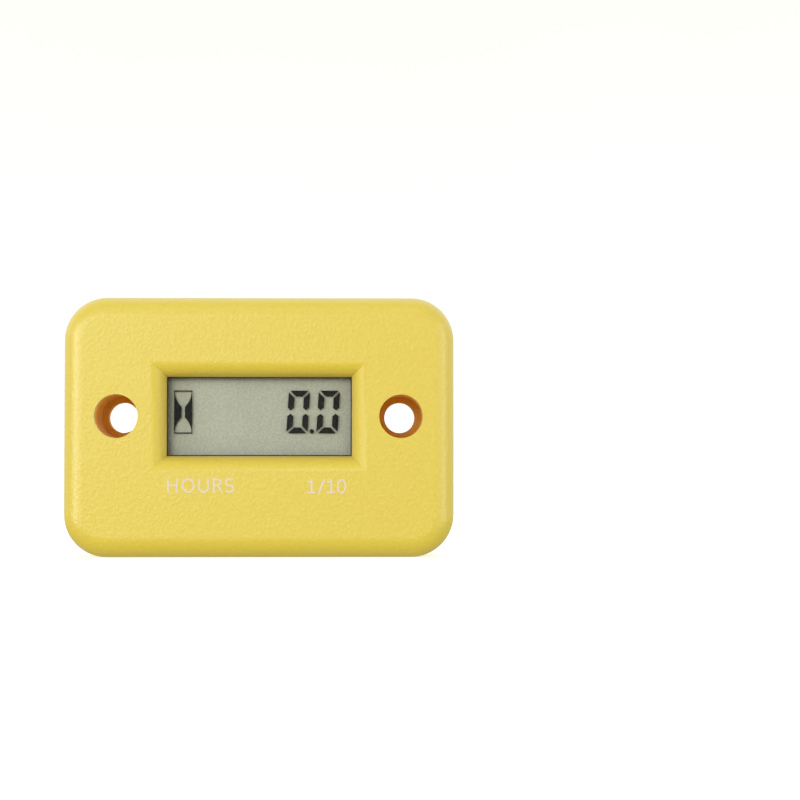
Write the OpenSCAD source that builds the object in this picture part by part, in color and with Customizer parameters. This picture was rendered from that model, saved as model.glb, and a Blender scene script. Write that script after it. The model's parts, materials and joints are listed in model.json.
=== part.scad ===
// Panel hour meter: a flat rounded case with a small liquid crystal counter, held by two screws.
// Every module works in the face frame: x to the right, y up, z from the mounting plane to the front.

/* [Case] */
// width over the side walls
case_w = 60; // [57:0.5:76]
// height over the top and bottom walls
case_h = 40; // [37:0.5:52]
// corner radius, seen from the front
corner_r = 6.6; // [5.6:0.1:8]
// radius of the round between the face and the side walls
edge_r = 3.2; // [1.6:0.1:4.4]
// bevel along the back edge of the side walls
back_bevel = 0.4; // [0.2:0.05:0.6]
// thickness of the side walls
wall = 2.4; // [2:0.1:2.8]
// thickness of the front wall away from the window
face_t = 2; // [1.5:0.1:2.8]
// height of the window and the screw holes above the middle of the face
feature_y = 1.65; // [0:0.05:2.4]

/* [Window] */
// width of the clear opening
window_w = 28.5; // [22:0.5:30]
// height of the clear opening
window_h = 12.2; // [9:0.2:14]
// radius of the rounded bezel
bezel_r = 2.6; // [1.8:0.1:3.4]
// how far the bezel's circle stands above the face, which leaves a soft line there
bezel_rise = 0.01; // [0.01:0.01:0.2]
// straight wall between the bezel and the lens seal
bezel_land = 0.5; // [0.2:0.1:1]

/* [Screw holes] */
// distance between the two screw holes
hole_spacing = 43.6; // [42:0.2:46]
// diameter of the through hole
hole_d = 4.8; // [3.4:0.1:5.6]
// diameter of the counterbore for the screw head
counterbore_d = 6.7; // [6:0.1:7.4]
// thickness of the floor under the screw head
hole_floor = 2.5; // [1.5:0.1:5]
// wall of the tube around the counterbore
boss_wall = 1.4; // [1:0.1:1.7]
// thickness of the web between each tube and the side wall
web_t = 1.6; // [1:0.1:2.4]
// thickness of the flange that carries the gasket around each tube
flange_t = 1.2; // [0.8:0.1:2]

/* [Display] */
// thickness of the black seal frame under the front wall
seal_t = 0.3; // [0.2:0.05:0.6]
// how far the seal shows inside the window
seal_lip = 0.18; // [0:0.02:0.4]
// thickness of the clear lens
lens_t = 0.8; // [0.6:0.1:2]
// bevel along the lens's front edges
lens_bevel = 0.15; // [0.1:0.05:0.3]
// thickness of each glass of the cell
glass_t = 0.55; // [0.4:0.05:1.1]
// thickness of the reflector film
reflector_t = 0.3; // [0.15:0.05:0.5]
// how far the reflector film stays inside the rear glass's edges
reflector_inset = 0.15; // [0.1:0.05:0.3]
// glass hidden behind the case at each side of the window
border_x = 1.2; // [0.8:0.1:1.4]
// glass hidden behind the case above and below the window
border_y = 3; // [2.8:0.1:3.6]
// contact ledge of the front glass, above and below the rear glass
contact_ledge = 2.4; // [2.2:0.1:2.6]
// width of a conductive rubber strip
zebra_w = 1.7; // [1.2:0.1:1.9]
// thickness of the ribs that form the display's pocket
pocket_rib = 1; // [0.8:0.1:1.4]
// distance between the board and the reflector
frame_t = 1.8; // [1.1:0.1:2.4]
// side rails of the display frame
frame_rail = 1.4; // [1:0.1:2]

/* [Circuit board] */
// thickness of the board
board_t = 1; // [0.8:0.1:1.6]
// free space between the board and the walls around it
board_gap = 0.5; // [0.3:0.1:0.8]
// distance of the board's screws from its edges
board_screw_inset = 2.8; // [2.5:0.1:3.2]
// outside diameter of the board's posts
board_post_d = 4.4; // [3.6:0.1:5]
// length of the board's screws under the head
board_screw_l = 5; // [3.5:0.1:5.2]
// height of the middle of the component rows above the board's lower edge
parts_row = 4.6; // [4.3:0.1:5]
// length of a chip capacitor or resistor
chip_l = 2; // [1:0.1:2.4]
// width of a chip capacitor or resistor
chip_w = 1.25; // [0.6:0.05:1.3]
// height of a chip capacitor
capacitor_h = 0.9; // [0.5:0.05:1]
// height of a chip resistor
resistor_h = 0.5; // [0.3:0.05:0.6]
// length of a chip's metal end
chip_end = 0.4; // [0.2:0.05:0.45]
// distance between chips in a row
chip_pitch = 3; // [2.8:0.1:3.2]
// distance between rows of chips
row_pitch = 1.6; // [1.5:0.1:1.8]
// place of the transistor to the right of the middle
transistor_x = 9.4; // [9:0.1:10]
// place of the diode to the left of the middle
diode_x = 1.8; // [1.6:0.1:2]
// diameter of the crystal's can
crystal_d = 2; // [1.6:0.1:2.4]
// length of the crystal's can
crystal_l = 6; // [5:0.1:6.6]
// diameter of the chip's resin cover
blob_d = 7.2; // [5:0.1:8.5]
// height of the chip's resin cover
blob_h = 0.9; // [0.5:0.05:1]

/* [Cell] */
// diameter of the coin cell
cell_d = 20; // [16:0.1:21.5]
// thickness of the coin cell
cell_t = 3.2; // [2:0.1:5]
// height of the cell's middle above the middle of the case
cell_y = 3.4; // [2.4:0.1:4]
// thickness of the nickel tabs
tab_t = 0.15; // [0.1:0.05:0.3]
// width of the nickel tabs
tab_w = 4; // [3:0.1:5]
// length of a tab's foot on the board
tab_foot = 2.6; // [1.5:0.1:2.8]
// length of a tab past the middle of the cell
tab_weld = 3; // [1:0.1:5]
// thickness of the film between the cell and the board
insulator_t = 0.15; // [0.1:0.05:0.3]
// free space between the cell's tab and the back cover
cell_slack = 0.15; // [0.1:0.05:0.4]
// wall of the ring that keeps the cell in place
cradle_wall = 1.2; // [0.8:0.1:1.4]
// height of that ring
cradle_h = 2.2; // [1.2:0.1:2.6]

/* [Back cover] */
// thickness of the cover
cover_t = 1.6; // [1.4:0.1:2.4]
// depth of the cover below the mounting plane
cover_recess = 0.2; // [0.1:0.05:0.5]
// wall left around the cover
rim_t = 1.2; // [0.9:0.1:1.5]
// thickness of the gasket
gasket_t = 0.5; // [0.3:0.1:0.8]
// width of the gasket around the screw tubes
gasket_ring = 1.3; // [1.2:0.1:1.6]
// distance of the cover's screws from the outside of the case
cover_screw_inset = 4.8; // [4.5:0.1:5.1]
// outside diameter of the posts for the cover's screws
cover_post_d = 4.8; // [4.4:0.1:5.2]
// length of the cover's screws under the head
cover_screw_l = 6; // [4:0.1:7]

/* [Screws] */
// diameter of the small screws
screw_d = 2; // [1.6:0.1:2.2]
// head diameter of the small screws
screw_head_d = 3.7; // [3.2:0.1:3.9]
// head height of the board's screws
pan_head_h = 1.2; // [0.8:0.1:1.4]
// head height of the cover's screws
wafer_head_h = 0.7; // [0.5:0.05:0.8]
// how far the cover's screw heads lie below its outside
head_sink = 0.1; // [0:0.05:0.2]

/* [Lead inlet] */
// bore for the pick-up lead
lead_bore_d = 1.7; // [1.2:0.1:2.2]
// diameter of the grommet in the cover
grommet_d = 4.2; // [3.4:0.1:4.8]
// diameter of the grommet's inner flange
grommet_flange_d = 6.2; // [5.6:0.1:7]
// thickness of the grommet's inner flange
grommet_flange_t = 1; // [0.6:0.1:1.4]
// wall of the grommet's inner sleeve
sleeve_wall = 0.7; // [0.5:0.05:1]
// height of the grommet's inner sleeve
sleeve_h = 0.7; // [0.4:0.05:1]
// distance of the inlet to the left of the middle
inlet_x = 7; // [5.5:0.1:8.5]
// diameter of the solder terminal's post
terminal_d = 1.2; // [0.8:0.1:1.6]

/* [Clearances] */
// clearance around parts that drop into a pocket
fit_gap = 0.1; // [0.05:0.01:0.15]
// clearance around the screws
screw_gap = 0.1; // [0.05:0.01:0.2]
// clearance around the cover
cover_gap = 0.15; // [0.1:0.01:0.2]

/* [Hidden] */
$fn = 48;

yellow = [0.9, 0.75, 0.15];
dark = [0.12, 0.12, 0.13];
metal = [0.75, 0.75, 0.74];
clear = [0.85, 0.9, 0.9, 0.35];

// the stack from the mounting plane to the face
cover_in = cover_recess + cover_t;
cell_z0 = cover_in + cell_slack + tab_t;
cell_z1 = cell_z0 + cell_t;
board_back = cell_z1 + tab_t + insulator_t;
board_front = board_back + board_t;
reflector_z = board_front + frame_t;
rear_glass_z = reflector_z + reflector_t;
front_glass_z = rear_glass_z + glass_t;
lens_z = front_glass_z + glass_t;
seal_z = lens_z + lens_t;
seat_z = seal_z + seal_t;
case_d = seat_z + bezel_land + bezel_r;
face_in = case_d - face_t;
ledge_z = cover_in + gasket_t;

// places in the face frame
inner_w = case_w - 2 * wall;
inner_h = case_h - 2 * wall;
hole_x = hole_spacing / 2;
boss_r = counterbore_d / 2 + boss_wall;
display_w = window_w + 2 * border_x;
display_h = window_h + 2 * border_y;
rear_glass_h = display_h - 2 * contact_ledge;
board_w = hole_spacing - 2 * boss_r - 2 * board_gap;
board_h = inner_h - 2 * board_gap;
board_screw_x = board_w / 2 - board_screw_inset;
board_screw_y = board_h / 2 - board_screw_inset;
cover_screw_x = case_w / 2 - cover_screw_inset;
cover_screw_y = case_h / 2 - cover_screw_inset;
head_seat = wafer_head_h + head_sink;
row_y = parts_row - board_h / 2;
cell_r = cell_d / 2;
cell_gap = 2 * fit_gap;
insulator_r = cell_r + 0.4;
zebra_l = display_w - 2 * (frame_rail + fit_gap);
terminal_neck = 0.8;

// turns the face frame upright, with the middle between the screw holes at the origin
module upright() {
    translate([0, 0, -feature_y]) rotate([90, 0, 0]) children();
}

module at_display() {
    translate([0, feature_y, 0]) children();
}

module at_holes() {
    for (s = [-1, 1]) translate([s * hole_x, feature_y, 0]) children();
}

module at_four(x, y) {
    for (i = [-1, 1], j = [-1, 1]) translate([i * x, j * y, 0]) children();
}

module rounded_rect(w, h, r) {
    square([w - 2 * r, h], center = true);
    square([w, h - 2 * r], center = true);
    at_four(w / 2 - r, h / 2 - r) circle(r);
}

// section of the case's edge, measured outward from a corner's middle
module edge_section() {
    straight = case_d - edge_r;
    polygon([[0, 0], [corner_r - back_bevel, 0], [corner_r, back_bevel], [corner_r, straight], [0, straight]]);
    square([corner_r - edge_r, case_d]);
    translate([corner_r - edge_r, straight]) circle(edge_r);
}

// solid outside of the case: one edge section swept round the rounded rectangle
module case_outside() {
    side_x = case_w - 2 * corner_r;
    side_y = case_h - 2 * corner_r;
    translate([-side_x / 2, -side_y / 2, 0]) cube([side_x, side_y, case_d]);
    for (a = [0, 180]) rotate(a) {
        translate([side_x / 2, side_y / 2, 0]) rotate_extrude(angle = 90) edge_section();
        translate([-side_x / 2, side_y / 2, 0]) rotate(90) rotate_extrude(angle = 90) edge_section();
        translate([side_x / 2, side_y / 2, 0]) rotate([90, 0, 0])
            linear_extrude(side_y) edge_section();
        translate([-side_x / 2, side_y / 2, 0]) rotate(90) rotate([90, 0, 0])
            linear_extrude(side_x) edge_section();
    }
}

// section of the window's cut across one of its two directions
module bezel_section(opening) {
    centre_x = opening / 2 + bezel_r;
    centre_z = case_d - bezel_r + bezel_rise;
    translate([-opening / 2, seat_z - 1]) square([opening, case_d - seat_z + 2]);
    difference() {
        translate([-centre_x, centre_z]) square([2 * centre_x, bezel_r + 1]);
        for (s = [-1, 1]) translate([s * centre_x, centre_z]) circle(bezel_r, $fn = 96);
    }
}

// the window's cut, with mitred corners where the two sections cross
module window_cut() {
    at_display() intersection() {
        rotate([90, 0, 0]) linear_extrude(case_h, center = true) bezel_section(window_w);
        rotate([90, 0, 90]) linear_extrude(case_w, center = true) bezel_section(window_h);
    }
}

// outline of the space for the cover, smaller all round by gap
module cover_outline(gap) {
    inset = rim_t + gap;
    rounded_rect(case_w - 2 * inset, case_h - 2 * inset, corner_r - inset);
}

// webs from the screw tubes out to a line that far inside the case's sides
module tube_webs(inset) {
    reach = case_w / 2 - inset - hole_x;
    for (s = [-1, 1]) translate([s * (hole_x + reach / 2), feature_y])
        square([reach, web_t], center = true);
}

// moulded case with its display pocket, screw tubes and posts
module front_case() {
    pocket_w = display_w + 2 * fit_gap;
    pocket_h = display_h + 2 * fit_gap;
    upright() color(yellow) difference() {
        union() {
            difference() {
                case_outside();
                translate([0, 0, -1]) linear_extrude(face_in + 1)
                    rounded_rect(inner_w, inner_h, corner_r - wall);
                translate([0, 0, -1]) linear_extrude(ledge_z + 1) cover_outline(0);
            }
            at_display() translate([0, 0, reflector_z]) linear_extrude(face_in - reflector_z + 0.5)
                square([pocket_w + 2 * pocket_rib, pocket_h + 2 * pocket_rib], center = true);
            at_holes() cylinder(h = face_in + 0.5, r = boss_r);
            translate([0, 0, ledge_z]) linear_extrude(flange_t) intersection() {
                cover_outline(0);
                at_holes() circle(boss_r + gasket_ring);
            }
            translate([0, 0, ledge_z]) linear_extrude(face_in - ledge_z + 0.5) tube_webs(rim_t);
            at_four(board_screw_x, board_screw_y) translate([0, 0, board_front])
                cylinder(h = face_in - board_front + 0.5, d = board_post_d);
            at_four(cover_screw_x, cover_screw_y) translate([0, 0, ledge_z])
                cylinder(h = face_in - ledge_z + 0.5, d = cover_post_d);
        }
        window_cut();
        at_display() translate([0, 0, reflector_z - 1]) linear_extrude(seat_z - reflector_z + 1)
            square([pocket_w, pocket_h], center = true);
        at_holes() translate([0, 0, -1]) cylinder(h = case_d + 2, d = hole_d);
        at_holes() translate([0, 0, hole_floor]) cylinder(h = case_d, d = counterbore_d);
        at_four(board_screw_x, board_screw_y) translate([0, 0, board_front - 1])
            cylinder(h = board_screw_l - board_t + 1.3, d = screw_d + screw_gap);
        at_four(cover_screw_x, cover_screw_y) translate([0, 0, ledge_z - 1])
            cylinder(h = cover_screw_l, d = screw_d + screw_gap);
    }
}

module window_seal() {
    upright() color(dark) at_display() translate([0, 0, seal_z]) linear_extrude(seal_t) difference() {
        square([display_w, display_h], center = true);
        square([window_w - 2 * seal_lip, window_h - 2 * seal_lip], center = true);
    }
}

// pane with its front edges broken
module window_lens() {
    upright() color(clear) at_display() intersection() {
        translate([0, 0, lens_z]) linear_extrude(lens_t) square([display_w, display_h], center = true);
        pane_bar(display_w, display_h);
        rotate(90) pane_bar(display_h, display_w);
    }
}

// bar across the pane with its two front edges broken
module pane_bar(across, along) {
    top = lens_z + lens_t;
    half = across / 2;
    rotate([90, 0, 0]) linear_extrude(along, center = true) polygon([
        [-half, lens_z], [half, lens_z], [half, top - lens_bevel],
        [half - lens_bevel, top], [lens_bevel - half, top], [-half, top - lens_bevel]]);
}

module lcd_front_glass() {
    upright() color(clear) at_display() translate([0, 0, front_glass_z]) linear_extrude(glass_t)
        square([display_w, display_h], center = true);
}

// rear glass, shorter than the front one by the two contact ledges
module lcd_rear_glass() {
    upright() color(clear) at_display() translate([0, 0, rear_glass_z]) linear_extrude(glass_t)
        square([display_w, rear_glass_h], center = true);
}

module rear_reflector() {
    upright() color([0.7, 0.72, 0.64]) at_display() translate([0, 0, reflector_z])
        linear_extrude(reflector_t)
            square([display_w - 2 * reflector_inset, rear_glass_h - 2 * reflector_inset], center = true);
}

// spacer with a clear middle for the chip and an open channel for each rubber strip
module display_frame() {
    upright() color([0.9, 0.9, 0.88]) at_display() translate([0, 0, board_front]) linear_extrude(frame_t)
        difference() {
            union() {
                square([display_w, rear_glass_h], center = true);
                for (s = [-1, 1]) translate([s * (display_w - frame_rail) / 2, 0])
                    square([frame_rail, display_h], center = true);
            }
            rounded_rect(display_w - 4 * frame_rail, rear_glass_h - 2 * frame_rail, 1);
        }
}

// strip of conductive rubber in the channel on side s, from the board to the front glass
module zebra(s) {
    middle = rear_glass_h / 2 + contact_ledge / 2;
    upright() color([0.25, 0.25, 0.27]) at_display() translate([0, s * middle, board_front])
        rotate([90, 0, 90]) linear_extrude(zebra_l, center = true) zebra_section();
}

// section of a strip: a core with a thin layer of softer rubber on both sides
module zebra_section() {
    height = front_glass_z - board_front;
    side = 0.15;
    short = 0.1;
    translate([side - zebra_w / 2, 0]) square([zebra_w - 2 * side, height]);
    translate([-zebra_w / 2, short]) square([zebra_w, height - 2 * short]);
}

module upper_zebra_strip() {
    zebra(1);
}

module lower_zebra_strip() {
    zebra(-1);
}

// board with its screw holes, the terminal's hole and rounded corners
module circuit_board() {
    upright() color([0.1, 0.4, 0.2]) translate([0, 0, board_back]) linear_extrude(board_t) difference() {
        rounded_rect(board_w, board_h, 1.5);
        at_four(board_screw_x, board_screw_y) circle(d = screw_d + 2 * screw_gap);
        at_terminal() circle(d = terminal_d * terminal_neck + screw_gap);
    }
}

module at_terminal() {
    translate([-inlet_x, row_y + grommet_flange_d / 2, 0]) children();
}

module controller_blob() {
    base = blob_d / 2;
    ball = (base * base + blob_h * blob_h) / (2 * blob_h);
    upright() color(dark) at_display() intersection() {
        translate([0, 0, board_front + blob_h - ball]) sphere(ball, $fn = 96);
        translate([0, 0, board_front]) cylinder(h = blob_h + 1, r = base + 1);
    }
}

// crystal can lying on the board, with its two leads bent down to it
module clock_crystal() {
    r = crystal_d / 2;
    rim = r * 0.15;
    crown = r * 0.3;
    pin_d = 0.35;
    pin_pitch = 0.9;
    pin_out = 0.6;
    foot = 0.2;
    bend = r - foot;
    upright() color(metal) translate([crystal_l / 2, board_screw_y, board_front + r]) rotate([0, -90, 0]) {
        rotate_extrude() polygon([[0, 0], [r - rim, 0], [r, rim],
            [r, crystal_l - crown], [r - crown, crystal_l], [0, crystal_l]]);
        for (s = [-1, 1]) translate([0, s * pin_pitch / 2, -pin_out]) {
            cylinder(h = pin_out + rim, d = pin_d);
            translate([-bend, 0, 0]) rotate([90, 0, 0]) rotate_extrude(angle = -90)
                translate([bend, 0]) circle(d = pin_d);
            translate([-r, 0, -bend]) rotate([0, 90, 0]) cylinder(h = foot, d = pin_d);
        }
    }
}

// chip with two end caps standing a little proud of its body, in a place of the chip grid
module chip(column, row, h) {
    proud = chip_w / 30;
    translate([chip_pitch * (column + 0.15), row_y + row * row_pitch, board_front]) {
        translate([(chip_end - chip_l) / 2, proud - chip_w / 2, proud])
            cube([chip_l - chip_end, chip_w - 2 * proud, h - 2 * proud]);
        for (s = [-1, 1]) translate([s * (chip_l - chip_end) / 2, 0, h / 2])
            cube([chip_end, chip_w, h], center = true);
    }
}

module chip_capacitors() {
    upright() color([0.7, 0.6, 0.45]) for (p = [[0, 1], [0, -1], [1, 1]]) chip(p[0], p[1], capacitor_h);
}

module chip_resistors() {
    upright() color(dark) for (p = [[1, -1], [2, 1], [2, 0], [2, -1]]) chip(p[0], p[1], resistor_h);
}

// three-legged input transistor
module input_transistor() {
    body = [1.3, 2.9, 0.9];
    under = 0.1;
    leg_w = 0.4;
    leg_pitch = 1.9;
    upright() color(dark) translate([transistor_x, row_y, board_front]) {
        translate([0, 0, under + body[2] / 2]) cube(body, center = true);
        for (p = [[0, leg_pitch / 2], [0, -leg_pitch / 2], [180, 0]]) translate([0, p[1], 0]) rotate(p[0])
            translate([0, leg_w / 2, 0]) rotate([90, 0, 0]) linear_extrude(leg_w)
                leg_section(body[0] / 2, under + body[2] / 2);
    }
}

// section of a leg: out of the body's side at a height, down and along the board
module leg_section(side, height) {
    leg_t = 0.12;
    inside = 0.15;
    out = 0.4;
    foot = 0.42;
    knee = side + out - leg_t;
    translate([side - inside, height - leg_t]) square([inside + out, leg_t]);
    translate([knee, 0]) square([leg_t, height]);
    translate([knee, 0]) square([foot, leg_t]);
}

// glass diode lying on the board, with its two end caps
module clamp_diode() {
    cap_r = 0.75;
    neck = 0.1;
    half_l = 1.75;
    cap_in = 1.3;
    glass_r = cap_r - neck;
    glass_in = cap_in - neck;
    upright() color([0.8, 0.45, 0.25]) translate([-diode_x, row_y, board_front + cap_r])
        rotate([90, 0, 0]) rotate_extrude() polygon([
            [0, -half_l], [cap_r, -half_l], [cap_r, -cap_in], [glass_r, -glass_in],
            [glass_r, glass_in], [cap_r, cap_in], [cap_r, half_l], [0, half_l]]);
}

// solder terminal riveted through the board
module lead_terminal() {
    r = terminal_d / 2;
    rivet_r = terminal_d * terminal_neck / 2;
    rivet_h = 0.25;
    flange_h = 0.4;
    groove = 1.7;
    knob = 2.1;
    tip = 2.3;
    upright() color([0.8, 0.65, 0.3]) at_terminal() translate([0, 0, board_back]) rotate_extrude() polygon([
        [0, board_t + rivet_h], [r * 1.4, board_t + rivet_h], [r * 1.4, board_t], [rivet_r, board_t],
        [rivet_r, 0], [r * 2, 0], [r * 2, -flange_h], [r, -flange_h], [r, -groove], [r * 1.5, -groove],
        [r * 1.5, -knob], [r, -tip], [0, -tip]]);
}

// coin cell: the can towards the cover, the smaller cap towards the board
module coin_cell() {
    edge = 0.3;
    crimp = cell_t - 0.35;
    lip_r = cell_r - 0.6;
    groove = 0.1;
    cap_r = lip_r - 0.4;
    cap_edge = 0.2;
    upright() color(metal) translate([0, cell_y, cell_z0]) rotate_extrude($fn = 96) polygon([
        [0, 0], [cell_r - edge, 0], [cell_r, edge], [cell_r, crimp - edge], [cell_r - edge, crimp],
        [lip_r, crimp], [lip_r, crimp - groove], [cap_r, crimp - groove],
        [cap_r, cell_t - cap_edge], [cap_r - cap_edge, cell_t], [0, cell_t]]);
}

// strip welded to the can, bent up to a foot on the board
module positive_tab() {
    riser = cell_r + 0.6;
    upright() color(metal) at_tab() {
        translate([-tab_weld, cell_z0 - tab_t]) square([riser + tab_weld, tab_t]);
        translate([riser, cell_z0 - tab_t]) square([tab_t, board_back - cell_z0 + tab_t]);
        translate([riser, board_back - tab_t]) square([tab_foot, tab_t]);
    }
}

// strip welded to the cap, stepped up to a foot on the board
module negative_tab() {
    step = insulator_r + cell_gap;
    upright() color(metal) at_tab() mirror([1, 0]) {
        translate([-tab_weld, cell_z1]) square([step + tab_weld, tab_t]);
        translate([step - tab_t, cell_z1]) square([tab_t, board_back - cell_z1]);
        translate([step - tab_t, board_back - tab_t]) square([tab_foot, tab_t]);
    }
}

module at_tab() {
    translate([0, cell_y + tab_w / 2, 0]) rotate([90, 0, 0]) linear_extrude(tab_w) children();
}

module cell_insulator() {
    upright() color([0.85, 0.8, 0.6]) translate([0, cell_y, cell_z1 + tab_t])
        cylinder(h = insulator_t, r = insulator_r);
}

// screw along z with its head below the seat at z = 0
module small_screw(l, head_h) {
    head_r = screw_head_d / 2;
    head_edge = 0.25;
    point = screw_d * 0.4;
    cross_l = screw_head_d * 0.55;
    cross_w = screw_d * 0.3;
    cross_depth = head_h * 0.6;
    difference() {
        rotate_extrude() polygon([[0, -head_h], [head_r - head_edge, -head_h],
            [head_r, head_edge - head_h], [head_r, 0], [screw_d / 2, 0],
            [screw_d / 2, l - point], [screw_d / 5, l], [0, l]]);
        for (a = [0, 90]) rotate(a) translate([-cross_l / 2, -cross_w / 2, -head_h - 1])
            cube([cross_l, cross_w, cross_depth + 1]);
    }
}

module board_screws() {
    upright() color(metal) at_four(board_screw_x, board_screw_y) translate([0, 0, board_back])
        small_screw(board_screw_l, pan_head_h);
}

// plate that closes the case, with the cell's cradle and the sunk screw seats
module back_cover() {
    tab_slot = tab_w + 1.2;
    upright() color(dark) difference() {
        union() {
            translate([0, 0, cover_recess]) linear_extrude(cover_t) difference() {
                cover_outline(cover_gap);
                at_holes() circle(boss_r + cover_gap);
                at_inlet() circle(d = grommet_d + fit_gap);
                at_four(cover_screw_x, cover_screw_y) circle(d = screw_d + 2 * screw_gap);
            }
            translate([0, cell_y, cover_in - 0.3]) linear_extrude(cradle_h + 0.3) difference() {
                circle(cell_r + cell_gap + cradle_wall, $fn = 96);
                circle(cell_r + cell_gap, $fn = 96);
                square([cell_d * 2, tab_slot], center = true);
            }
        }
        at_four(cover_screw_x, cover_screw_y) translate([0, 0, cover_recess - 1])
            cylinder(h = head_seat + 1, d = screw_head_d + 2 * screw_gap);
    }
}

module at_inlet() {
    translate([-inlet_x, row_y, 0]) children();
}

// flat gasket: a band on the case's ledge, pads round the screws and a ring round each screw tube
module cover_gasket() {
    upright() color([0.15, 0.15, 0.15]) translate([0, 0, cover_in]) linear_extrude(gasket_t)
        difference() {
            intersection() {
                cover_outline(fit_gap);
                union() {
                    difference() {
                        square([case_w, case_h], center = true);
                        rounded_rect(inner_w, inner_h, corner_r - wall);
                    }
                    at_four(cover_screw_x, cover_screw_y) circle(d = cover_post_d);
                    at_holes() circle(boss_r + gasket_ring);
                    tube_webs(rim_t);
                }
            }
            at_holes() circle(boss_r + fit_gap);
            at_four(cover_screw_x, cover_screw_y) circle(d = screw_d + 2 * screw_gap);
        }
}

module cover_screws() {
    upright() color(metal) at_four(cover_screw_x, cover_screw_y)
        translate([0, 0, cover_recess + head_seat]) small_screw(cover_screw_l, wafer_head_h);
}

// rubber bush in the cover, with a flange and a short sleeve inside
module lead_grommet() {
    bore_r = lead_bore_d / 2;
    outer_r = grommet_d / 2;
    flange_r = grommet_flange_d / 2;
    flange_top = cover_in + grommet_flange_t;
    edge = 0.2;
    upright() color(dark) at_inlet() rotate_extrude() polygon([
        [bore_r, cover_recess], [outer_r - edge, cover_recess], [outer_r, cover_recess + edge],
        [outer_r, cover_in], [flange_r, cover_in], [flange_r, flange_top - edge], [flange_r - edge, flange_top],
        [bore_r + sleeve_wall, flange_top], [bore_r + sleeve_wall, flange_top + sleeve_h],
        [bore_r, flange_top + sleeve_h]]);
}

front_case();
window_seal();
window_lens();
lcd_front_glass();
lcd_rear_glass();
rear_reflector();
display_frame();
upper_zebra_strip();
lower_zebra_strip();
circuit_board();
controller_blob();
clock_crystal();
chip_capacitors();
chip_resistors();
input_transistor();
clamp_diode();
lead_terminal();
coin_cell();
positive_tab();
negative_tab();
cell_insulator();
board_screws();
back_cover();
cover_gasket();
cover_screws();
lead_grommet();
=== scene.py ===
import json
import math

import bmesh
import bpy
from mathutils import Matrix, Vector
from mathutils.geometry import delaunay_2d_cdt


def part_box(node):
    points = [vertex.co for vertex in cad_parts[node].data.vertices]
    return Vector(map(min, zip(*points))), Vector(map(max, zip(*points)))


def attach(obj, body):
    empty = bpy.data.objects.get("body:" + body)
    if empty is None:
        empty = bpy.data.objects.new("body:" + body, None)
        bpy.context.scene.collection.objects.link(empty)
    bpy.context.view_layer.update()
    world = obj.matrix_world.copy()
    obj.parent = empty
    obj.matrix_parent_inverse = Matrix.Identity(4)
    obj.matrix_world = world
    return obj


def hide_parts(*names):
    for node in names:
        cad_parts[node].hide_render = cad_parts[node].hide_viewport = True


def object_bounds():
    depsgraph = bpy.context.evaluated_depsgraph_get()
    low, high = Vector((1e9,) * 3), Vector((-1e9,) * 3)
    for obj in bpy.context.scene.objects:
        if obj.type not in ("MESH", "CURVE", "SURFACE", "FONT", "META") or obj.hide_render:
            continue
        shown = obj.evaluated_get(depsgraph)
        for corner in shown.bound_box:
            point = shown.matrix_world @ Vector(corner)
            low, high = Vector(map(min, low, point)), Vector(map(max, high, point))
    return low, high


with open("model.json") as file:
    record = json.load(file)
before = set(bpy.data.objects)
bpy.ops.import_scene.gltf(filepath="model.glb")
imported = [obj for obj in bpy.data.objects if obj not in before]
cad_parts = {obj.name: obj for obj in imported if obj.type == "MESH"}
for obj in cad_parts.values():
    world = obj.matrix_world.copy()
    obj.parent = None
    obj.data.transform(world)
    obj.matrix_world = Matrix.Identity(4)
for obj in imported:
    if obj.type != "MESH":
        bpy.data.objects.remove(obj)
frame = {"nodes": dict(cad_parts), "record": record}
nodes = frame["nodes"]
cad_lo, cad_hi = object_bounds()
MM = 0.001

# screw holes, and the planes of the case's face and back
mounts = {m["name"]: m for m in frame["record"]["mounts"]}
HOLE_X = mounts["right_head_recess"]["pos_m"][0]
HOLE_R = mounts["right_head_recess"]["dims"]["r_mm"] * MM
FACE_Y, BACK_Y = cad_lo.y, cad_hi.y


# materials

# height of the grain on plastics and rubbers, and of the finer lines on metals, film and board
GRAIN, FINE_LINES = 0.04 * MM, 0.03 * MM


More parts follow.
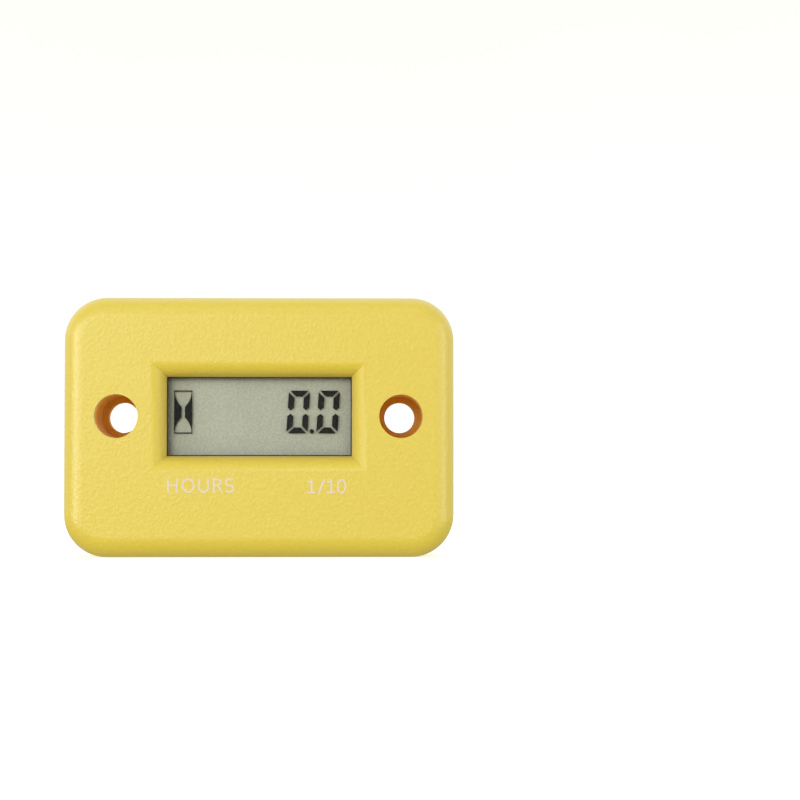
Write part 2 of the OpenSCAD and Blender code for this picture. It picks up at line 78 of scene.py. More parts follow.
class Tree:
    """A material's nodes, with short ways to add and join them."""

    def __init__(self, name):
        self.mat = bpy.data.materials.new(name)
        self.mat.use_nodes = True
        self.nt = self.mat.node_tree
        self.nt.nodes.clear()
        self.out = self.nt.nodes.new("ShaderNodeOutputMaterial")
        self.coords = None

    def node(self, kind, inputs=None, **props):
        n = self.nt.nodes.new("ShaderNode" + kind)
        for key, value in props.items():
            setattr(n, key, value)
        for key, value in (inputs or {}).items():
            self.put(n.inputs[key], value)
        return n

    def put(self, socket, value):
        if isinstance(value, bpy.types.NodeSocket):
            self.nt.links.new(value, socket)
        else:
            socket.default_value = value

    def place(self):
        """The point on the part, in metres."""
        if self.coords is None:
            self.coords = self.node("TexCoord").outputs["Object"]
        return self.coords

    def stretched(self, x, y, z):
        n = self.node("Mapping", {"Vector": self.place(), "Scale": (x, y, z)})
        return n.outputs["Vector"]

    def noise(self, scale, detail=2.0, rough=0.5, vector=None):
        n = self.node("TexNoise", {"Vector": vector or self.place(), "Scale": scale, "Detail": detail,
                                   "Roughness": rough})
        return n.outputs["Fac"]

    def ramp(self, value, low, high, to_low=0.0, to_high=1.0):
        """A smooth step from to_low, where value is low, to to_high, where it is high."""
        n = self.node("MapRange", {"Value": value, "From Min": low, "From Max": high, "To Min": to_low,
                                   "To Max": to_high}, interpolation_type="SMOOTHSTEP")
        return n.outputs["Result"]

    def math(self, kind, a, b=0.0):
        n = self.node("Math", operation=kind)
        self.put(n.inputs[0], a)
        self.put(n.inputs[1], b)
        return n.outputs[0]

    def mix(self, factor, a, b):
        n = self.node("Mix", data_type="RGBA")
        self.put(n.inputs["Factor"], factor)
        self.put(n.inputs["A"], a)
        self.put(n.inputs["B"], b)
        return n.outputs["Result"]

    def bump(self, height, strength, distance):
        n = self.node("Bump", {"Strength": strength, "Distance": distance, "Height": height})
        return n.outputs["Normal"]

    def surface(self, **inputs):
        names = {key.replace("_", " ").title().replace("Ior", "IOR"): value for key, value in inputs.items()}
        p = self.node("BsdfPrincipled", names)
        self.nt.links.new(p.outputs["BSDF"], self.out.inputs["Surface"])


def rgb(r, g, b):
    return (r, g, b, 1.0)


def moulded(name, low, high, grain, roughness, strength):
    """Moulded plastic or rubber: two close tones, a fine spark-eroded grain and uneven gloss."""
    t = Tree(name)
    fine = t.noise(grain, 3.0, 0.6)
    broad = t.noise(90.0, 3.0, 0.55)
    tone = t.math("ADD", t.math("MULTIPLY", fine, 0.55), t.math("MULTIPLY", broad, 0.45))
    colour = t.mix(t.ramp(tone, 0.35, 0.65), low, high)
    rough = t.ramp(fine, 0.25, 0.75, roughness - 0.06, roughness + 0.06)
    t.surface(base_color=colour, roughness=rough, normal=t.bump(fine, strength, GRAIN))
    return t.mat


# tints of the case's plastic, and painted shades: orange in its screw holes, darker round its window
CASE_LOW, CASE_HIGH = rgb(0.746, 0.582, 0.045), rgb(0.796, 0.630, 0.053)
CASE_MOTTLE = rgb(0.776, 0.597, 0.041)
BORE_PAINTED_SHADE = rgb(0.92, 0.55, 0.097)
WINDOW_PAINTED_SHADE = rgb(0.703, 0.548, 0.074)

# where a painted shade or a duller gloss comes in or goes out, as the start and the end of its change
BORE_WALL = HOLE_R + 0.02 * MM, HOLE_R + 0.10 * MM
BORE_FRONT = FACE_Y + 0.1 * MM, FACE_Y + 2.5 * MM
BORE_BACK = BACK_Y - 0.5 * MM, BACK_Y - 0.2 * MM
BEVEL_TOP = FACE_Y + 0.01 * MM, FACE_Y + 0.2 * MM
BEVEL_FLANK = FACE_Y + 0.05 * MM, FACE_Y + 1.5 * MM
WINDOW_X, WINDOW_Z = 18.0 * MM, 10.0 * MM
MIDDLE_Y = (FACE_Y + BACK_Y) / 2

# gloss of the case's plastic: the coat, and how much rougher the bores and the bevel are
COAT, COAT_ROUGHNESS = 0.65, 0.42
BORE_MATT, BEVEL_MATT = 0.45, 0.15

# height of its leathery grain
LEATHER_GRAIN = 0.085 * MM


def case_plastic():
    """Yellow moulded case: leathery grain, painted orange shade in the screw holes, painted shade and duller
    gloss on the window's bevel.
    """
    t = Tree("case_yellow")
    fine = t.noise(5200.0, 3.0, 0.6)
    leather = t.noise(1800.0, 2.0, 0.55)
    broad = t.noise(70.0, 3.0, 0.55)
    tone = t.math("ADD", t.math("MULTIPLY", fine, 0.5), t.math("MULTIPLY", leather, 0.5))
    yellow = t.mix(t.ramp(tone, 0.3, 0.7), CASE_LOW, CASE_HIGH)
    yellow = t.mix(t.ramp(broad, 0.35, 0.65, 0.0, 0.35), yellow, CASE_MOTTLE)
    xyz = t.node("SeparateXYZ", {"Vector": t.place()})
    x, y, z = (xyz.outputs[axis] for axis in "XYZ")
    across = t.math("SUBTRACT", t.math("ABSOLUTE", x), HOLE_X)
    reach = t.math("SQRT", t.math("ADD", t.math("MULTIPLY", across, across), t.math("MULTIPLY", z, z)))
    inside = t.ramp(reach, *BORE_WALL, 1.0, 0.0)
    bore = t.math("MULTIPLY", inside, t.ramp(y, *BORE_FRONT))
    bore = t.math("MULTIPLY", bore, t.ramp(y, *BORE_BACK, 1.0, 0.0))
    # painted shade: the bores turn orange-brown, as light bounced round the yellow hole would make them
    yellow = t.mix(bore, yellow, BORE_PAINTED_SHADE)
    near_window = t.math("MULTIPLY", t.math("LESS_THAN", t.math("ABSOLUTE", x), WINDOW_X),
                         t.math("LESS_THAN", t.math("ABSOLUTE", z), WINDOW_Z))
    near_window = t.math("MULTIPLY", near_window, t.math("LESS_THAN", y, MIDDLE_Y))
    # painted shade: the sunk bevel round the window darkens with its depth
    yellow = t.mix(t.math("MULTIPLY", near_window, t.ramp(y, *BEVEL_FLANK)), yellow, WINDOW_PAINTED_SHADE)
    bevel = t.math("MULTIPLY", near_window, t.ramp(y, *BEVEL_TOP))
    dull = t.math("MAXIMUM", bore, bevel)
    matt = t.math("ADD", t.math("MULTIPLY", bore, BORE_MATT), t.math("MULTIPLY", bevel, BEVEL_MATT))
    rough = t.math("ADD", t.ramp(fine, 0.25, 0.75, 0.28, 0.38), matt)
    height = t.math("ADD", t.math("MULTIPLY", fine, 0.35), leather)
    t.surface(base_color=yellow, roughness=rough, specular_ior_level=0.85, coat_roughness=COAT_ROUGHNESS,
              coat_weight=t.math("SUBTRACT", COAT, t.math("MULTIPLY", dull, COAT)),
              normal=t.bump(height, 1.0, LEATHER_GRAIN))
    return t.mat


def see_through(name, tint, gloss):
    """Clear pane: lets light straight through, with a faint sheen that grows at grazing angles."""
    t = Tree(name)
    haze = t.noise(240.0, 2.0, 0.5)
    clear = t.node("BsdfTransparent", {"Color": tint})
    shine = t.node("BsdfGlossy", {"Color": rgb(1, 1, 1), "Roughness": t.ramp(haze, 0.3, 0.7, 0.10, 0.16)})
    edge = t.node("Fresnel", {"IOR": gloss})
    both = t.node("MixShader", {0: edge.outputs[0], 1: clear.outputs[0], 2: shine.outputs[0]})
    t.nt.links.new(both.outputs[0], t.out.inputs["Surface"])
    return t.mat


def reflector():
    """Grey-green reflector film: a brushed foil's broad gleam with the sparkle of its diffusing layer."""
    t = Tree("display_reflector")
    speck = t.noise(4200.0, 2.0, 0.6)
    cloud = t.noise(180.0, 2.0, 0.5)
    tone = t.math("ADD", t.math("MULTIPLY", speck, 0.85), t.math("MULTIPLY", cloud, 0.15))
    colour = t.mix(t.ramp(tone, 0.4, 0.6), rgb(0.486, 0.488, 0.424), rgb(0.590, 0.592, 0.516))
    t.surface(base_color=colour, metallic=0.85, roughness=t.ramp(speck, 0.3, 0.7, 0.45, 0.55),
              normal=t.bump(speck, 0.12, FINE_LINES))
    return t.mat


def metal(name, low, high, roughness, stretch):
    """Plated or pressed metal with faint drawn lines."""
    t = Tree(name)
    lines = t.noise(1.0, 3.0, 0.6, t.stretched(*stretch))
    cloud = t.noise(420.0, 2.0, 0.5)
    colour = t.mix(t.ramp(cloud, 0.3, 0.7), low, high)
    rough = t.ramp(lines, 0.3, 0.7, roughness - 0.08, roughness + 0.1)
    t.surface(base_color=colour, metallic=1.0, roughness=rough, normal=t.bump(lines, 0.15, FINE_LINES))
    return t.mat


def board_green():
    """Green coated laminate with the weave showing faintly and pale track lines."""
    t = Tree("board_green")
    wave = t.node("TexWave", {"Vector": t.place(), "Scale": 420.0, "Distortion": 1.5, "Detail": 1.0},
                  bands_direction="Z")
    cloud = t.noise(300.0, 2.0, 0.5)
    green = t.mix(t.ramp(cloud, 0.3, 0.7), rgb(0.015, 0.13, 0.045), rgb(0.02, 0.17, 0.06))
    green = t.mix(t.ramp(wave.outputs["Fac"], 0.75, 0.95), green, rgb(0.03, 0.24, 0.09))
    t.surface(base_color=green, roughness=t.ramp(cloud, 0.3, 0.7, 0.3, 0.42),
              normal=t.bump(wave.outputs["Fac"], 0.1, FINE_LINES))
    return t.mat


def ink(name, low, high, roughness, gloss):
    """Printed or etched marking with slightly uneven cover."""
    t = Tree(name)
    grain = t.noise(3600.0, 3.0, 0.6)
    t.surface(base_color=t.mix(t.ramp(grain, 0.3, 0.7), low, high), specular_ior_level=gloss,
              roughness=t.ramp(grain, 0.3, 0.7, roughness - 0.05, roughness + 0.05))
    return t.mat


MATERIALS = {
    "case_plastic": case_plastic(),
    "seal_rubber": moulded("seal_black", rgb(0.018, 0.018, 0.018), rgb(0.03, 0.03, 0.03), 2600.0, 0.62, 0.2),
    "clear_plastic": see_through("lens_clear", rgb(0.985, 0.99, 0.98), 1.09),
    "display_glass": see_through("glass_clear", rgb(0.99, 0.992, 0.985), 1.03),
    "reflector_film": reflector(),
    "frame_plastic": moulded("frame_white", rgb(0.74, 0.74, 0.71), rgb(0.8, 0.8, 0.77), 2600.0, 0.5, 0.15),
    "strip_rubber": moulded("strip_grey", rgb(0.05, 0.05, 0.055), rgb(0.13, 0.13, 0.14), 2600.0, 0.7, 0.2),
    "board_laminate": board_green(),
    "chip_resin": moulded("resin_black", rgb(0.012, 0.012, 0.012), rgb(0.022, 0.022, 0.023),
                          900.0, 0.34, 0.1),
    "bright_metal": metal("nickel", rgb(0.66, 0.65, 0.62), rgb(0.74, 0.73, 0.7),
                          0.3, (4000.0, 300.0, 300.0)),
    "capacitor_ceramic": moulded("ceramic_tan", rgb(0.42, 0.31, 0.2), rgb(0.52, 0.4, 0.27),
                                 3000.0, 0.5, 0.15),
    "resistor_ceramic": moulded("ceramic_dark", rgb(0.03, 0.03, 0.035), rgb(0.07, 0.07, 0.08),
                                3000.0, 0.4, 0.15),
    "diode_glass": moulded("diode_orange", rgb(0.5, 0.17, 0.06), rgb(0.62, 0.25, 0.1), 1500.0, 0.18, 0.05),
    "terminal_brass": metal("brass", rgb(0.68, 0.48, 0.17), rgb(0.78, 0.58, 0.25),
                            0.28, (300.0, 4000.0, 300.0)),
    "cell_steel": metal("cell_can", rgb(0.66, 0.66, 0.65), rgb(0.75, 0.75, 0.74),
                        0.26, (300.0, 300.0, 4000.0)),
    "insulating_paper": moulded("fish_paper", rgb(0.55, 0.43, 0.24), rgb(0.66, 0.54, 0.33),
                                1800.0, 0.75, 0.3),
    "screw_steel": metal("zinc", rgb(0.52, 0.52, 0.5), rgb(0.64, 0.64, 0.61),
                         0.34, (2600.0, 500.0, 500.0)),
    "cover_plastic": moulded("cover_black", rgb(0.016, 0.016, 0.017), rgb(0.026, 0.026, 0.027),
                             3600.0, 0.52, 0.25),
    "grommet_rubber": moulded("grommet_black", rgb(0.014, 0.014, 0.014), rgb(0.024, 0.024, 0.024),
                              2200.0, 0.66, 0.2),
}
SLOTS = {s["node"]: s["material_slot"] for s in frame["record"]["subparts"]}
for name, obj in nodes.items():
    obj.data.materials.clear()
    obj.data.materials.append(MATERIALS[SLOTS[name]])


# geometry helpers

def make(name, bm, mat):
    """A piece that rides on the root body, with its material."""
    bmesh.ops.recalc_face_normals(bm, faces=bm.faces[:])
    me = bpy.data.meshes.new(name)
    bm.to_mesh(me)
    bm.free()
    me.materials.append(mat)
    o = bpy.data.objects.new(name, me)
    bpy.context.scene.collection.objects.link(o)
    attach(o, "root")
    return o


# points of an outline nearer than this are one point (mm)
FUSE = 0.0001


def flat_piece(name, outlines, skin, mat):
    """Thin flat piece from outlines in x and z (mm), fused into one closed skin where they meet.

    skin gives the y (mm) of its back and of its front."""
    points, loops = [], []
    for outline in outlines:
        turn = sum(a[0] * b[1] - b[0] * a[1] for a, b in zip(outline, outline[1:] + outline[:1]))
        ring = outline if turn > 0 else outline[::-1]
        loops.append(list(range(len(points), len(points) + len(ring))))
        points += [Vector(p) for p in ring]
    flat, _, triangles, _, _, owners = delaunay_2d_cdt(points, [], loops, 1, FUSE)
    triangles = [t for t, own in zip(triangles, owners) if own]
    sides = {(t[i - 1], t[i]) for t in triangles for i in range(3)}
    bm = bmesh.new()
    back, front = [[bm.verts.new((p.x * MM, y * MM, p.y * MM)) for p in flat] for y in skin]
    for t in triangles:
        bm.faces.new([front[i] for i in t])
        bm.faces.new([back[i] for i in reversed(t)])
    for a, b in sorted(sides):
        if (b, a) not in sides:
            bm.faces.new((front[b], front[a], back[a], back[b]))
    loose = [v for v in bm.verts if not v.link_faces]
    bmesh.ops.delete(bm, geom=loose, context="VERTS")
    return make(name, bm, mat)


# cosine of half a bend from which a band's mitre grows no longer
LONGEST_MITRE = 0.5


def ribbon(path, width, closed=False):
    """Outlines of an even band along a path in x and z (mm), one for each straight stretch."""
    pts = [Vector(p) for p in path]
    n = len(pts)
    left, right = [], []
    for i, p in enumerate(pts):
        before = pts[i - 1] if (i or closed) else None
        after = pts[(i + 1) % n] if (i < n - 1 or closed) else None
        d1 = (p - before).normalized() if before is not None else (after - p).normalized()
        d2 = (after - p).normalized() if after is not None else d1
        d = (d1 + d2).normalized()
        side = Vector((-d.y, d.x))
        reach = width / 2 / max(LONGEST_MITRE, d.dot(d1))
        left.append(p + side * reach)
        right.append(p - side * reach)
    stretches = range(n if closed else n - 1)
    return [[tuple(q) for q in (right[i], right[(i + 1) % n], left[(i + 1) % n], left[i])] for i in stretches]


def arc(cx, cz, rx, rz, start, end, steps):
    """Points in x and z along part of an oval, from one angle to another (degrees)."""
    turns = [math.radians(start + (end - start) * i / steps) for i in range(steps + 1)]
    return [(cx + rx * math.cos(turn), cz + rz * math.sin(turn)) for turn in turns]


def oval(cx, cz, rx, rz, count):
    """Points all round an oval, the first not repeated at the end."""
    return arc(cx, cz, rx, rz, 0, 360 - 360 / count, count - 1)


# skin of the case

# points nearer than this are one
WELD = 0.001 * MM
# faces that turn by less than this shade as one
CREASE = math.radians(24)
# a plane with more area than this keeps its own normal
FLAT = 60 * MM * MM
# share that a face always has in the normals of its corners
OWN = 0.001


def plane_of(face):
    """The plane a face lies in, rounded so that all faces of one flat share it."""
    n = face.normal
    return (round(n.x, 3), round(n.y, 3), round(n.z, 3), round(n.dot(face.center) / MM, 2))


def flowing_normals(skin):
    """One normal for each face corner: a flat keeps its own to its edge, where the round beside it starts."""
    spread, around = {}, {}
    for face in skin.polygons:
        spread[plane_of(face)] = spread.get(plane_of(face), 0.0) + face.area
        for v in face.vertices:
            around.setdefault(v, []).append(face)
    normals = []
    for face in skin.polygons:
        for v in face.vertices:
            near = {plane_of(f): f.normal for f in around[v] if f.normal.angle(face.normal, math.pi) < CREASE}
            widest = max(near, key=spread.get, default=None)
            if widest is not None and spread[widest] > FLAT:
                normals.append(near[widest].copy())
            else:
                normals.append(sum(near.values(), face.normal * OWN).normalized())
    return normals


def case_skin():
    """The case's own surface in one welded skin, whose shading flows from its flats into its rounds."""
    solid = nodes["front_case"].data
    bm = bmesh.new()
    corners = [bm.verts.new(v.co) for v in solid.vertices]
    for face in solid.polygons:
        bm.faces.new([corners[i] for i in face.vertices]).smooth = True
    bmesh.ops.remove_doubles(bm, verts=bm.verts[:], dist=WELD)
    o = make("case_skin", bm, MATERIALS["case_plastic"])
    o.data.normals_split_custom_set(flowing_normals(o.data))
    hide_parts("front_case")


case_skin()


# glass of the display: the lens, and the two glasses of the cell bonded into one stepped piece

# air left before and behind a glass
CLEAR = 0.01 * MM
LENS_EDGE, CELL_EDGE = 0.12 * MM, 0.06 * MM
# an edge that turns outwards by more than this gets broken (radians)
SHARP = 0.1


def slab(bm, lo, hi, edge):
    """Block with broken edges between two corners."""
    made = bmesh.ops.create_cube(bm, size=1.0)["verts"]
    size, mid = hi - lo, (hi + lo) / 2
    for v in made:
        v.co = Vector((v.co.x * size.x, v.co.y * size.y, v.co.z * size.z)) + mid
    edges = list({e for v in made for e in v.link_edges})
    bmesh.ops.bevel(bm, geom=edges, offset=edge, segments=2, profile=0.5, affect="EDGES")


def lens_pane():
    """The window's clear pane."""
    lo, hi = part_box("window_lens")
    lo.y, hi.y = lo.y + CLEAR, hi.y - CLEAR
    bm = bmesh.new()
    slab(bm, lo, hi, LENS_EDGE)
    o = make("lens_pane", bm, MATERIALS["clear_plastic"])
    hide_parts("window_lens")


def display_cell():
    """Front glass with its contact ledges and the shorter rear glass, as one closed stepped section."""
    front_lo, front_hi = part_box("lcd_front_glass")
    rear_lo, rear_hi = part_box("lcd_rear_glass")
    y0, y1, y2 = front_lo.y + CLEAR, front_hi.y, rear_hi.y - CLEAR
    z0, z1, z2, z3 = front_lo.z, rear_lo.z, rear_hi.z, front_hi.z
    section = [(y0, z0), (y1, z0), (y1, z1), (y2, z1), (y2, z2), (y1, z2), (y1, z3), (y0, z3)]
    bm = bmesh.new()
    left = [bm.verts.new((front_lo.x, y, z)) for y, z in section]
    right = [bm.verts.new((front_hi.x, y, z)) for y, z in section]
    bm.faces.new(left)
    bm.faces.new(right[::-1])
    for i in range(len(section)):
        j = (i + 1) % len(section)
        bm.faces.new((left[i], left[j], right[j], right[i]))
    bmesh.ops.recalc_face_normals(bm, faces=bm.faces[:])
    sharp = [e for e in bm.edges if e.calc_face_angle_signed() > SHARP]
    bmesh.ops.bevel(bm, geom=sharp, offset=CELL_EDGE, segments=2, profile=0.5, affect="EDGES")
    o = make("display_cell", bm, MATERIALS["display_glass"])
    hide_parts("lcd_front_glass", "lcd_rear_glass")


lens_pane()
display_cell()


# what the display shows, in the thin layer between its two glasses

LCD_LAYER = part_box("lcd_front_glass")[1].y / MM
LCD_HALF = 0.01
LCD_SKIN = (LCD_LAYER + LCD_HALF, LCD_LAYER - LCD_HALF)

# digits and their point (mm): lean, size, gaps at the mitres, pointed ends of the posts, and places
SLANT = math.tan(math.radians(3.5))
HALF_W, HALF_H, STROKE = 1.65, 3.32, 0.93
MITRE, TIP, SHOULDER = 0.23, 0.26, 0.66
DIGIT_X, DIGIT_Z = (5.93, 10.575), 0.755
POINT_X, POINT_Z, POINT_R = 8.04, -2.25, 0.36
POINT_SIDES = 24


def digit(cx, cz, lit):
    """Outlines of a seven-segment digit; lit names the outer segments that show."""
    w, h, t, g = HALF_W, HALF_H, STROKE, MITRE
    bar = [(g - w, h), (w - g, h), (w - t - g, h - t), (t + g - w, h - t)]
    post = [(w, h - g), (w, SHOULDER), (w - t / 2, TIP), (w - t, SHOULDER), (w - t, h - t - g)]
    shapes = {
        "a": bar, "d": [(x, -z) for x, z in bar],
        "b": post, "c": [(x, -z) for x, z in post],
        "f": [(-x, z) for x, z in post], "e": [(-x, -z) for x, z in post],
    }
    return [[(cx + x + SLANT * z, cz + z) for x, z in shapes[name]] for name in lit]


segment_ink = ink("segment_dark", rgb(0.016, 0.0175, 0.018), rgb(0.024, 0.026, 0.027), 0.7, 0.15)
zeros = [outline for x in DIGIT_X for outline in digit(x, DIGIT_Z, "abcdef")]
point = oval(POINT_X, POINT_Z, POINT_R, POINT_R, POINT_SIDES)
flat_piece("display_digits", zeros + [point], LCD_SKIN, segment_ink)

# hourglass sign (mm): a thin frame, dark at both sides of a clear glass with a straight neck
ICON_L, ICON_R, ICON_T, ICON_B = -13.30, -10.49, 4.09, -2.60
NECK_T, NECK_B, NECK_W = 1.53, -0.10, 0.27
LINE, SIDE = 0.18, 0.12
BULB_CURVE, BULB_STEPS = 2.2, 14


def bulb_edge(neck_z, end_z, bulb):
    """Half width of the clear glass from the neck to one end, as (half width, z)."""
    shares = [i / BULB_STEPS for i in range(BULB_STEPS + 1)]
    return [(NECK_W + (bulb - NECK_W) * (1 - (1 - s) ** BULB_CURVE), neck_z + (end_z - neck_z) * s)
            for s in shares]


def hourglass():
    """Outlines of the two dark sides and of the frame's top and bottom lines."""
    mid, half = (ICON_L + ICON_R) / 2, (ICON_R - ICON_L) / 2
    upper = bulb_edge(NECK_T, ICON_T - LINE, half - SIDE)
    lower = bulb_edge(NECK_B, ICON_B + LINE, half - SIDE)
    glass = upper[::-1] + lower
    outlines = []
    for s in (-1, 1):
        outlines.append([(mid + s * w, z) for w, z in glass + [(half, ICON_B), (half, ICON_T)]])
    for top in (ICON_T, ICON_B + LINE):
        outlines.append([(ICON_L, top), (ICON_R, top), (ICON_R, top - LINE), (ICON_L, top - LINE)])
    return outlines


flat_piece("display_hourglass", hourglass(), LCD_SKIN, segment_ink)


# printed unit and tenths marks on the face

PRINT_SUNK, PRINT_PROUD = 0.01, 0.02
PRINT_SKIN = (FACE_Y / MM + PRINT_SUNK, FACE_Y / MM - PRINT_PROUD)
print_ink = ink("print_cream", rgb(0.785, 0.665, 0.55), rgb(0.825, 0.705, 0.60), 0.55, 0.4)

# print (mm): width of a stroke, the lines' feet and their height, and how far round marks reach past both
PEN = 0.26
UNIT_BASE, TENTHS_BASE, CAP = -11.69, -11.80, 2.16
OVERSHOOT = 0.04
H_BAR, R_BOWL, R_TUCK, R_KNEE = 0.53, 0.50, 0.22, 0.50
S_UPPER, S_LOWER, S_NARROWING = (38, 228), (48, -146), 0.92
FLAG_DROP, FLAG_RISE = 0.42, 0.06
SLASH_FOOT, SLASH_HEAD = (9.12, -11.99), (10.04, -9.66)
ROUND_SIDES, BOWL_STEPS, BEND_STEPS = 48, 20, 18


def letter_h(x0, x1, base):
    left, right, bar = x0 + PEN / 2, x1 - PEN / 2, base + CAP * H_BAR
    posts = [[(x, base), (x, base + CAP)] for x in (left, right)]
    return [q for path in posts + [[(left, bar), (right, bar)]] for q in ribbon(path, PEN)]


def letter_o(x0, x1, base):
    rx, rz = (x1 - x0 - PEN) / 2, (CAP - PEN) / 2 + OVERSHOOT
    return ribbon(oval((x0 + x1) / 2, base + CAP / 2, rx, rz, ROUND_SIDES), PEN, closed=True)


def letter_u(x0, x1, base):
    r = (x1 - x0 - PEN) / 2
    bowl = arc((x0 + x1) / 2, base + r + PEN / 2 - OVERSHOOT, r, r, 180, 360, BOWL_STEPS)
    return ribbon([(x0 + PEN / 2, base + CAP)] + bowl + [(x1 - PEN / 2, base + CAP)], PEN)


def letter_r(x0, x1, base):
    stem, top = x0 + PEN / 2, base + CAP - PEN / 2
    r = CAP * R_BOWL / 2 - PEN / 4
    bowl = arc(x1 - R_TUCK - PEN / 2 - r, top - r, r, r, 90, -90, BEND_STEPS)
    knee = x0 + (x1 - x0) * R_KNEE
    return (ribbon([(stem, base), (stem, base + CAP)], PEN)
            + ribbon([(stem, top)] + bowl + [(stem, top - 2 * r)], PEN)
            + ribbon([(knee, top - 2 * r), (x1 - PEN / 2, base)], PEN))


def letter_s(x0, x1, base):
    cx, r = (x0 + x1) / 2, (x1 - x0 - PEN) / 2
    rz = (CAP - PEN) / 4 + OVERSHOOT
    upper_z, lower_z = base + CAP - PEN / 2 - rz + OVERSHOOT, base + PEN / 2 + rz - OVERSHOOT
    upper = arc(cx, upper_z, r * S_NARROWING, rz, *S_UPPER, BEND_STEPS)
    lower = arc(cx, lower_z, r, rz, *S_LOWER, BEND_STEPS)
    return ribbon(upper + lower, PEN)


def figure_one(x0, x1, base):
    stem, top = (x0 + x1) / 2 + PEN / 4, base + CAP
    return (ribbon([(stem, base), (stem, top)], PEN)
            + ribbon([(x0, top - FLAG_DROP), (stem, top - FLAG_DROP + FLAG_RISE)], PEN)
            + ribbon([(x0, base + PEN / 2), (x1, base + PEN / 2)], PEN))


def line_of(marks, base):
    """Outlines of a line of print; each mark is its shape with its left and right ends."""
    return [outline for shape, x0, x1 in marks for outline in shape(x0, x1, base)]


UNIT = ((letter_h, -13.92, -12.30), (letter_o, -11.70, -9.76), (letter_u, -9.17, -7.55),
        (letter_r, -6.94, -5.41), (letter_s, -5.14, -3.71))
TENTHS = ((figure_one, 7.45, 8.66), (figure_one, 10.44, 11.65), (letter_o, 11.98, 13.42))
slash = ribbon([SLASH_FOOT, SLASH_HEAD], PEN)
flat_piece("printed_unit", line_of(UNIT, UNIT_BASE), PRINT_SKIN, print_ink)
flat_piece("printed_tenths", line_of(TENTHS, TENTHS_BASE) + slash, PRINT_SKIN, print_ink)


# stage: a pale floor that sweeps up into a backdrop all round

FLOOR_RINGS = 0.3, 0.7
FLOOR_REACH, SWEEP, WALL = 1.2, 0.8, 3.0
SPOKES, SWEEP_STEPS = 64, 12
GLOW = 0.50


def stage_dish():
    """Round backdrop that the camera sees; bounced light and shadows pass it, so it tints nothing."""
    t = Tree("stage_white")
    cloud = t.noise(3.0, 2.0, 0.5)
    t.surface(base_color=t.mix(t.ramp(cloud, 0.3, 0.7), rgb(0.90, 0.90, 0.895), rgb(0.92, 0.92, 0.915)),
              roughness=0.9, specular_ior_level=0.1, emission_color=rgb(1, 1, 0.99), emission_strength=GLOW)
    profile = [(reach, 0.0) for reach in FLOOR_RINGS]
    for i in range(SWEEP_STEPS + 1):
        turn = math.radians(90 * i / SWEEP_STEPS)
        profile.append((FLOOR_REACH + SWEEP * math.sin(turn), SWEEP - SWEEP * math.cos(turn)))
    profile.append((FLOOR_REACH + SWEEP, WALL))
    bm = bmesh.new()
    rings = []
    spots = [2 * math.pi * k / SPOKES for k in range(SPOKES)]
    for reach, rise in profile:
        z = cad_lo.z + rise
        rings.append([bm.verts.new((reach * math.cos(a), reach * math.sin(a), z)) for a in spots])
    bm.faces.new(rings[0])
    for inner, outer in zip(rings, rings[1:]):
        for k in range(SPOKES):
            n = (k + 1) % SPOKES
            bm.faces.new((inner[n], inner[k], outer[k], outer[n])).smooth = True
    me = bpy.data.meshes.new("backdrop")
    bm.to_mesh(me)
    bm.free()
    me.materials.append(t.mat)
    o = bpy.data.objects.new("backdrop", me)
    o.visible_diffuse = False
    o.visible_glossy = False
    o.visible_shadow = False
    bpy.context.scene.collection.objects.link(o)


stage_dish()

# surroundings: white all round, brighter above and behind the object, warmer from the floor below
AROUND, BEHIND, BLEND = 0.43, 0.60, 0.15
UNDER = rgb(1.20, 1.11, 0.78)


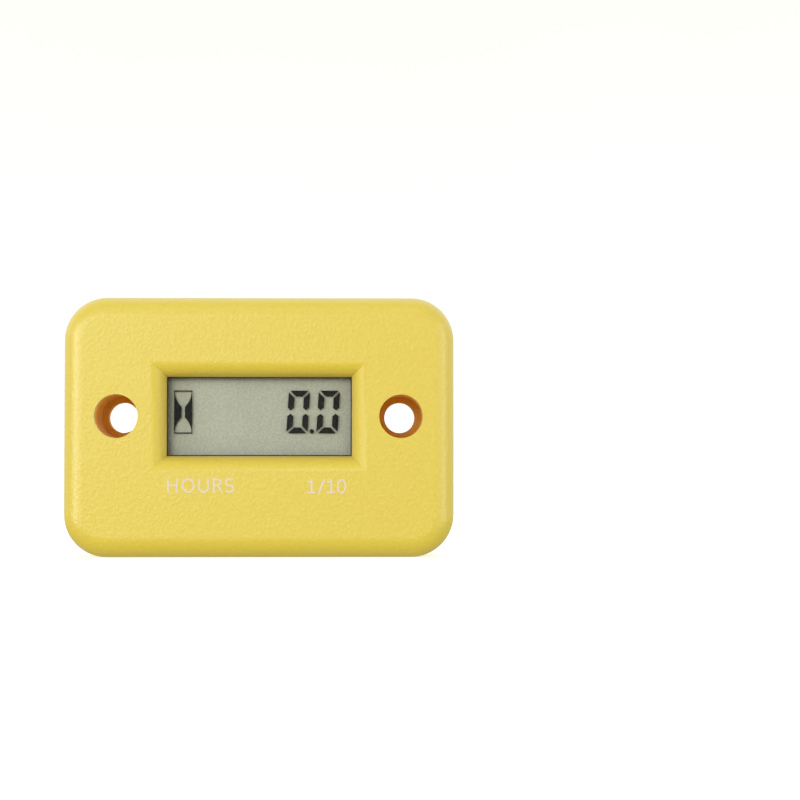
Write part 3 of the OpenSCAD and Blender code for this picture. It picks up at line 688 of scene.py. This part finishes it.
def studio_world():
    """Light from all round, by the direction that it comes from."""
    world = bpy.data.worlds.new("studio")
    bpy.context.scene.world = world
    world.use_nodes = True
    nt = world.node_tree
    background = nt.nodes["Background"]
    look = nt.nodes.new("ShaderNodeSeparateXYZ")
    nt.links.new(nt.nodes.new("ShaderNodeTexCoord").outputs["Generated"], look.inputs["Vector"])
    shares = {}
    for axis, full in (("Y", BEHIND), ("Z", 1.0)):
        side = nt.nodes.new("ShaderNodeMapRange")
        side.inputs["From Min"].default_value = -BLEND
        side.inputs["From Max"].default_value = BLEND
        side.inputs["To Max"].default_value = full
        nt.links.new(look.outputs[axis], side.inputs["Value"])
        shares[axis] = side.outputs["Result"]
    strength = nt.nodes.new("ShaderNodeMath")
    strength.operation = "MULTIPLY_ADD"
    strength.inputs[2].default_value = AROUND
    nt.links.new(shares["Y"], strength.inputs[0])
    nt.links.new(shares["Z"], strength.inputs[1])
    nt.links.new(strength.outputs[0], background.inputs["Strength"])
    tint = nt.nodes.new("ShaderNodeMix")
    tint.data_type = "RGBA"
    tint.inputs["A"].default_value = UNDER
    tint.inputs["B"].default_value = rgb(1, 1, 1)
    nt.links.new(shares["Z"], tint.inputs["Factor"])
    nt.links.new(tint.outputs["Result"], background.inputs["Color"])


studio_world()


# lamps: name, place and size in metres, power in watts; all aim at the middle of the part
LAMPS = (
    ("key_left", (-0.45, -0.88, 0.08), (0.20, 0.20), 0.30),
    ("key_high", (-0.26, -0.94, 0.18), (0.32, 0.32), 1.30),
    ("fill_right", (0.45, -0.88, 0.12), (0.32, 0.32), 0.65),
    ("panel_left", (-0.77, -0.64, 0.12), (0.45, 0.60), 3.6),
    ("panel_right", (0.90, -0.48, 0.12), (0.35, 0.80), 2.35),
    ("top_front", (0.0, -0.62, 0.75), (0.90, 0.30), 0.85),
)
centre = (cad_lo + cad_hi) / 2
for name, place, size, power in LAMPS:
    data = bpy.data.lights.new(name, "AREA")
    data.shape = "RECTANGLE"
    data.size, data.size_y = size
    data.energy = power
    lamp = bpy.data.objects.new(name, data)
    lamp.location = place
    lamp.rotation_euler = (centre - Vector(place)).to_track_quat("-Z", "Y").to_euler()
    lamp.visible_camera = False
    bpy.context.scene.collection.objects.link(lamp)

view = bpy.context.scene.view_settings
view.view_transform = "Standard"
view.look = "None"

# camera: right of the middle and low, as far off as a close-up lens, looking slightly up and right
IMAGE_PIXELS, LENS_PIXELS, SENSOR_MM = 800.0, 2095.11, 36.0
CAMERA_PLACE = Vector((14.4175, -334.715, -7.6586)) * MM
LOOK_UP, LOOK_RIGHT = 0.0316, 0.0225
NEAREST = 0.01
cam = bpy.data.cameras.new("camera")
cam.sensor_width = SENSOR_MM
cam.lens = LENS_PIXELS * SENSOR_MM / IMAGE_PIXELS
cam.clip_start = NEAREST
camera = bpy.data.objects.new("camera", cam)
camera.location = CAMERA_PLACE
camera.rotation_euler = (math.radians(90) + LOOK_UP, 0.0, -LOOK_RIGHT)
bpy.context.scene.collection.objects.link(camera)
bpy.context.scene.camera = camera
